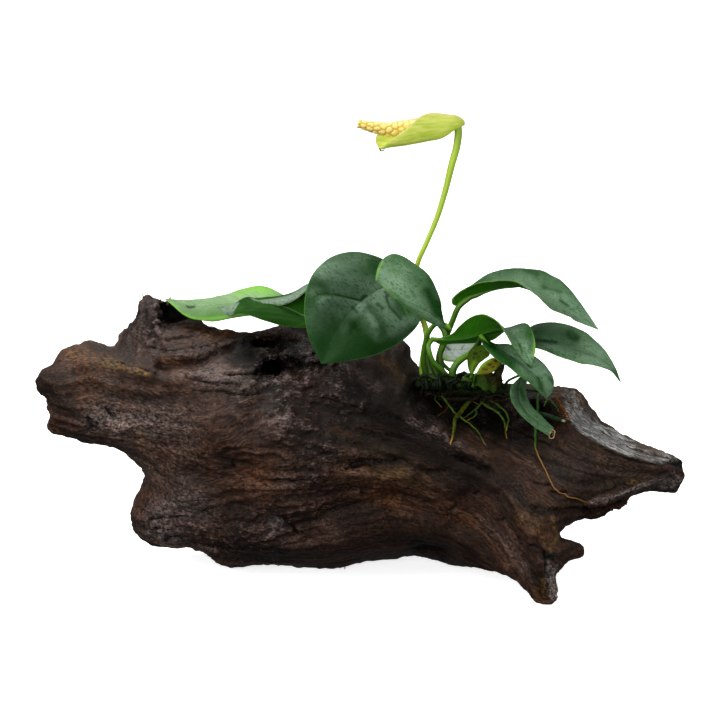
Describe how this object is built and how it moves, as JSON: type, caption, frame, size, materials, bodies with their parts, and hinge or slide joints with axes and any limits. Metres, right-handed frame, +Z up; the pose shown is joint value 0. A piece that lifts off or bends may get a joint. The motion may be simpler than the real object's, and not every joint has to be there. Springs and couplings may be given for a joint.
{
  "type": "aquarium plant on driftwood",
  "caption": "Small broad-leaved aquarium plant with a flower on a tall stalk, its roots holding on to a long branching piece of dark driftwood.",
  "frame": {"origin": "centre of the bounding box's underside, on the surface that the wood rests on", "axes": "+X to the right along the wood's length, +Y away from the viewer of the front side, +Z up"},
  "size_m": [0.2508, 0.1003, 0.18],
  "materials": {
    "driftwood": "wet dark brown wood with a fine weathered grain, patchy gloss",
    "leaf_green": "waxy dark green living leaf with a wet sheen",
    "leaf_pale": "waxy light green living leaf, a little translucent",
    "leaf_yellow": "yellowing leaf with brown spots",
    "leaf_stem": "smooth green leaf stem",
    "rhizome": "dark green creeping stem with brown fibres",
    "root": "fibrous yellow-green to brown root",
    "flower_stalk": "smooth yellow-green flower stalk",
    "spathe": "thin lime green flower sheath with a pink-brown rim",
    "spadix": "cream yellow flower spike covered in small bumps"
  },
  "bodies": {
    "root": {"wood_trunk": "driftwood", "wood_left_arm": "driftwood", "wood_horn": "driftwood", "wood_lower_lobe": "driftwood", "wood_right_arm": "driftwood", "wood_right_foot": "driftwood", "wood_knob": "driftwood", "leaf_big_round": "leaf_green", "leaf_over_big": "leaf_green", "leaf_tall_arching": "leaf_green", "leaf_twisted_middle": "leaf_green", "leaf_right_long": "leaf_green", "leaf_low_right": "leaf_green", "leaf_cut_hanging": "leaf_green", "leaf_left_twisted": "leaf_green", "leaf_small_olive": "leaf_green", "leaf_crumpled_dark": "leaf_green", "leaf_far_left": "leaf_pale", "leaf_pale_back": "leaf_pale", "leaf_yellow_spotted": "leaf_yellow", "stem_big_round": "leaf_stem", "stem_over_big": "leaf_stem", "stem_tall_arching": "leaf_stem", "stem_twisted_middle": "leaf_stem", "stem_right_long": "leaf_stem", "stem_low_right": "leaf_stem", "stem_cut_hanging": "leaf_stem", "stem_left_twisted": "leaf_stem", "stem_far_left": "leaf_stem", "stem_pale_back": "leaf_stem", "stem_small_olive": "leaf_stem", "stem_yellow_spotted": "leaf_stem", "rhizome": "rhizome", "rhizome_tip": "rhizome", "root_left_thick": "root", "root_yellow_green": "root", "root_middle": "root", "root_right": "root", "root_left_branch": "root", "root_bud": "root", "root_brown": "root", "root_loop": "root", "root_edge": "root", "flower_stalk": "flower_stalk", "spathe": "spathe", "spadix": "spadix"}
  },
  "joints": []
}
